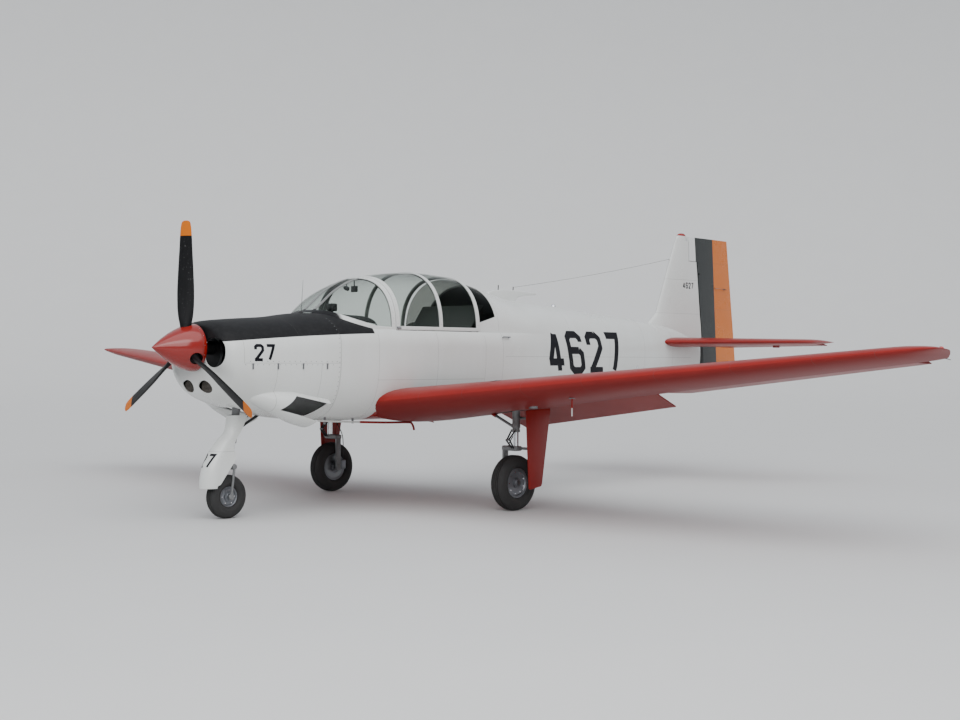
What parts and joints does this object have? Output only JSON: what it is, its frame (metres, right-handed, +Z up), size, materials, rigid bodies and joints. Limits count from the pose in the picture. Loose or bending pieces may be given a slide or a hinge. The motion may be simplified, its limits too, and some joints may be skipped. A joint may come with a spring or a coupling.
{
  "type": "trainer aircraft",
  "caption": "Side-by-side two-seat low-wing trainer aircraft with a sliding bubble canopy, a propeller and a nose-wheel undercarriage, parked with its split flaps down.",
  "frame": {"origin": "on the ground under the middle of the aircraft's length, on its centre plane", "axes": "+X forward to the spinner tip, +Y to the port (left) wing tip, +Z up"},
  "size_m": [8.608, 11, 2.926],
  "materials": {
    "white_paint": "satin off-white paint on sheet metal",
    "red_paint": "glossy red paint on sheet metal",
    "orange_paint": "satin orange paint with a black front stripe and a white horn",
    "blade_black": "satin black with orange-yellow tips",
    "black_trim": "matt black crinkle paint",
    "clear_glazing": "clear acrylic glazing",
    "engine_casting": "dark grey casting",
    "gear_steel": "bright and grey painted steel",
    "wheel_alloy": "grey painted cast alloy",
    "tyre_rubber": "black rubber",
    "seat_cover": "dark grey seat covering",
    "cabin_lining": "dark grey cabin lining"
  },
  "bodies": {
    "airframe": {"cowl": "white_paint", "engine_block": "engine_casting", "cabin_shell": "white_paint", "windshield_frame": "white_paint", "windshield_glass": "clear_glazing", "rear_window": "clear_glazing", "instrument_panel": "black_trim", "seat_left": "seat_cover", "seat_right": "seat_cover", "control_sticks": "gear_steel", "rear_bulkhead": "cabin_lining", "wing_left": "red_paint", "wing_right": "red_paint", "tail_cone": "white_paint", "fin": "white_paint", "tailplane_left": "red_paint", "tailplane_right": "red_paint", "spine_fairing": "white_paint", "main_leg_left": "gear_steel", "main_leg_right": "gear_steel", "gear_door_left": "red_paint", "gear_door_right": "red_paint", "nose_leg": "gear_steel"},
    "propeller": {"spinner": "red_paint", "propeller_blade_1": "blade_black", "propeller_blade_2": "blade_black", "propeller_blade_3": "blade_black"},
    "nose_steering": {"nose_fork": "gear_steel", "nose_fairing": "white_paint"},
    "nose_wheel": {"nose_wheel_tyre": "tyre_rubber", "nose_wheel_rim": "wheel_alloy"},
    "main_wheel_left": {"main_wheel_left_tyre": "tyre_rubber", "main_wheel_left_rim": "wheel_alloy"},
    "main_wheel_right": {"main_wheel_right_tyre": "tyre_rubber", "main_wheel_right_rim": "wheel_alloy"},
    "canopy": {"canopy_frame": "white_paint", "canopy_glass": "clear_glazing"},
    "aileron_left": {"aileron_left": "red_paint"},
    "aileron_right": {"aileron_right": "red_paint"},
    "flap_left": {"flap_left": "red_paint"},
    "flap_right": {"flap_right": "red_paint"},
    "elevator": {"elevator_left": "red_paint", "elevator_right": "red_paint"},
    "rudder": {"rudder": "orange_paint"}
  },
  "joints": [
    {"name": "propeller_spin", "type": "hinge", "parent": "airframe", "child": "propeller", "pos_m": [3.97, 0, 1.48], "axis": [1, 0, 0], "continuous": true},
    {"name": "nose_steer", "type": "hinge", "parent": "airframe", "child": "nose_steering", "pos_m": [3.525, 0, 0.38], "axis": [-0.145, 0, 0.9894], "range_deg": [-20, 20]},
    {"name": "nose_wheel_spin", "type": "hinge", "parent": "nose_steering", "child": "nose_wheel", "pos_m": [3.545, 0, 0.19], "axis": [0, 1, 0], "continuous": true},
    {"name": "main_wheel_left_spin", "type": "hinge", "parent": "airframe", "child": "main_wheel_left", "pos_m": [1.264, 1.298, 0.255], "axis": [0, 1, 0], "continuous": true},
    {"name": "main_wheel_right_spin", "type": "hinge", "parent": "airframe", "child": "main_wheel_right", "pos_m": [1.264, -1.298, 0.255], "axis": [0, 1, 0], "continuous": true},
    {"name": "canopy_slide", "type": "slide", "parent": "airframe", "child": "canopy", "axis": [-1, 0, 0], "range_m": [0, 0.7]},
    {"name": "aileron_left_hinge", "type": "hinge", "parent": "airframe", "child": "aileron_left", "pos_m": [0.78129, 2.69, 1.15684], "axis": [0.0178, 0.9941, 0.1073], "range_deg": [-12, 24]},
    {"name": "aileron_right_hinge", "type": "hinge", "parent": "airframe", "child": "aileron_right", "pos_m": [0.78129, -2.69, 1.15684], "axis": [-0.0178, 0.9941, -0.1073], "range_deg": [-24, 12]},
    {"name": "flap_left_hinge", "type": "hinge", "parent": "airframe", "child": "flap_left", "pos_m": [0.72495, 0.64, 0.86476], "axis": [0.0201, 0.9927, 0.1186], "range_deg": [-15, 29]},
    {"name": "flap_right_hinge", "type": "hinge", "parent": "airframe", "child": "flap_right", "pos_m": [0.72495, -0.64, 0.86476], "axis": [-0.0201, 0.9927, -0.1186], "range_deg": [-15, 29]},
    {"name": "elevator_hinge", "type": "hinge", "parent": "airframe", "child": "elevator", "pos_m": [-3.39, 0, 1.6], "axis": [0, 1, 0], "range_deg": [-10, 33]},
    {"name": "rudder_hinge", "type": "hinge", "parent": "airframe", "child": "rudder", "pos_m": [-3.539, 0, 1.215], "axis": [0.0954, 0, 0.9954], "range_deg": [-25, 25]}
  ],
  "couplings": [
    {"joint": "aileron_right_hinge", "follows": "aileron_left_hinge", "ratio": -1},
    {"joint": "flap_right_hinge", "follows": "flap_left_hinge", "ratio": 1}
  ]
}
